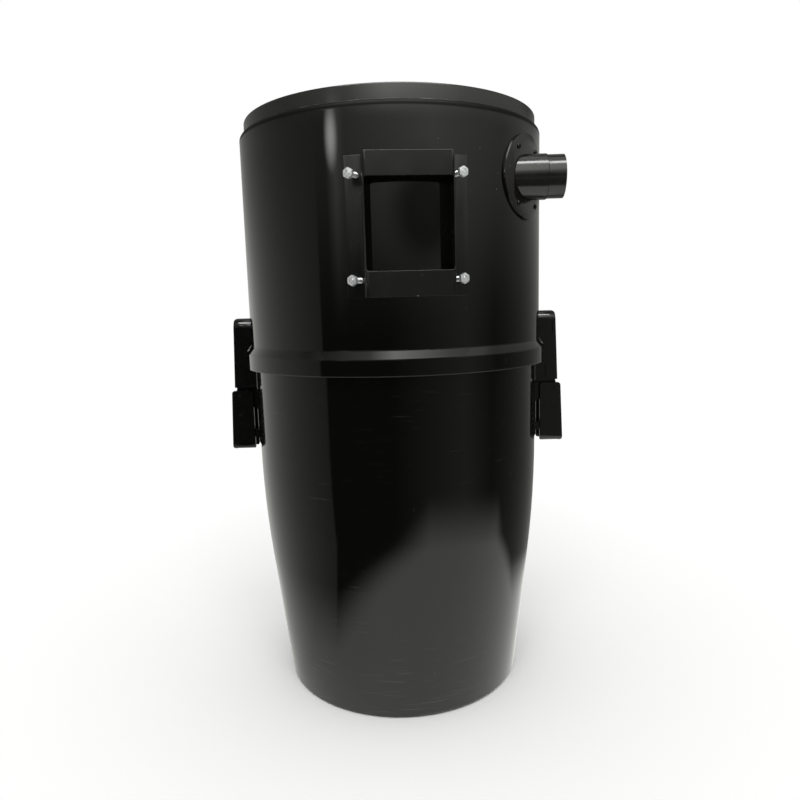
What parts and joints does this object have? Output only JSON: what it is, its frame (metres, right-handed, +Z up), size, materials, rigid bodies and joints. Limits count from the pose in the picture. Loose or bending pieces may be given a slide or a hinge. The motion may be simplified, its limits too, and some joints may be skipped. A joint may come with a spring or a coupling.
{
  "type": "cyclone dust separator",
  "caption": "Black plastic cyclone drum over a conical dust bucket held by side latches, with a swept side inlet, top outlet pipe and hat-section wall bracket.",
  "frame": {"origin": "on the floor, on the axis of the drum, at the middle of the bucket's floor", "axes": "+Z up along the drum's axis; -Y is the side with the wall bracket; +X is the side with the inlet and, 5 degrees off it, the right latch"},
  "size_m": [0.4714, 0.4238, 0.799],
  "materials": {
    "drum_plastic": "glossy black moulded plastic",
    "pipe_plastic": "glossy black pipe plastic",
    "latch_plastic": "glossy black moulded latch plastic",
    "bracket_steel": "satin black powder coat on bent steel sheet",
    "pin_steel": "dark steel pins",
    "seal_rubber": "black rubber"
  },
  "bodies": {
    "separator": {"upper_body": "drum_plastic", "top_cover": "drum_plastic", "dust_bucket": "drum_plastic", "bucket_floor": "drum_plastic", "inlet_flange": "pipe_plastic", "inlet_socket": "pipe_plastic", "inlet_pipe": "pipe_plastic", "outlet_flange": "pipe_plastic", "outlet_socket": "pipe_plastic", "outlet_pipe": "pipe_plastic", "bucket_seal": "seal_rubber", "wall_bracket": "bracket_steel", "right_latch_base": "latch_plastic", "right_front_pivot_pin": "pin_steel", "right_rear_pivot_pin": "pin_steel", "left_latch_base": "latch_plastic", "left_front_pivot_pin": "pin_steel", "left_rear_pivot_pin": "pin_steel"},
    "right_lever": {"right_latch_lever": "latch_plastic", "right_hook_pin": "pin_steel"},
    "right_hook": {"right_latch_hook": "latch_plastic"},
    "left_lever": {"left_latch_lever": "latch_plastic", "left_hook_pin": "pin_steel"},
    "left_hook": {"left_latch_hook": "latch_plastic"}
  },
  "joints": [
    {"name": "right_lever_pivot", "type": "hinge", "parent": "separator", "child": "right_lever", "pos_m": [0.22115, -0.01935, 0.402], "axis": [-0.0872, -0.9962, 0], "range_deg": [0, 100]},
    {"name": "right_hook_pivot", "type": "hinge", "parent": "right_lever", "child": "right_hook", "pos_m": [0.22115, -0.01935, 0.3745], "axis": [0.0872, 0.9962, 0], "range_deg": [0, 110]},
    {"name": "left_lever_pivot", "type": "hinge", "parent": "separator", "child": "left_lever", "pos_m": [-0.22115, 0.01935, 0.402], "axis": [0.0872, 0.9962, 0], "range_deg": [0, 100]},
    {"name": "left_hook_pivot", "type": "hinge", "parent": "left_lever", "child": "left_hook", "pos_m": [-0.22115, 0.01935, 0.3745], "axis": [-0.0872, -0.9962, 0], "range_deg": [0, 110]}
  ],
  "couplings": [
    {"joint": "right_hook_pivot", "follows": "right_lever_pivot", "ratio": 1.1},
    {"joint": "left_hook_pivot", "follows": "left_lever_pivot", "ratio": 1.1}
  ]
}
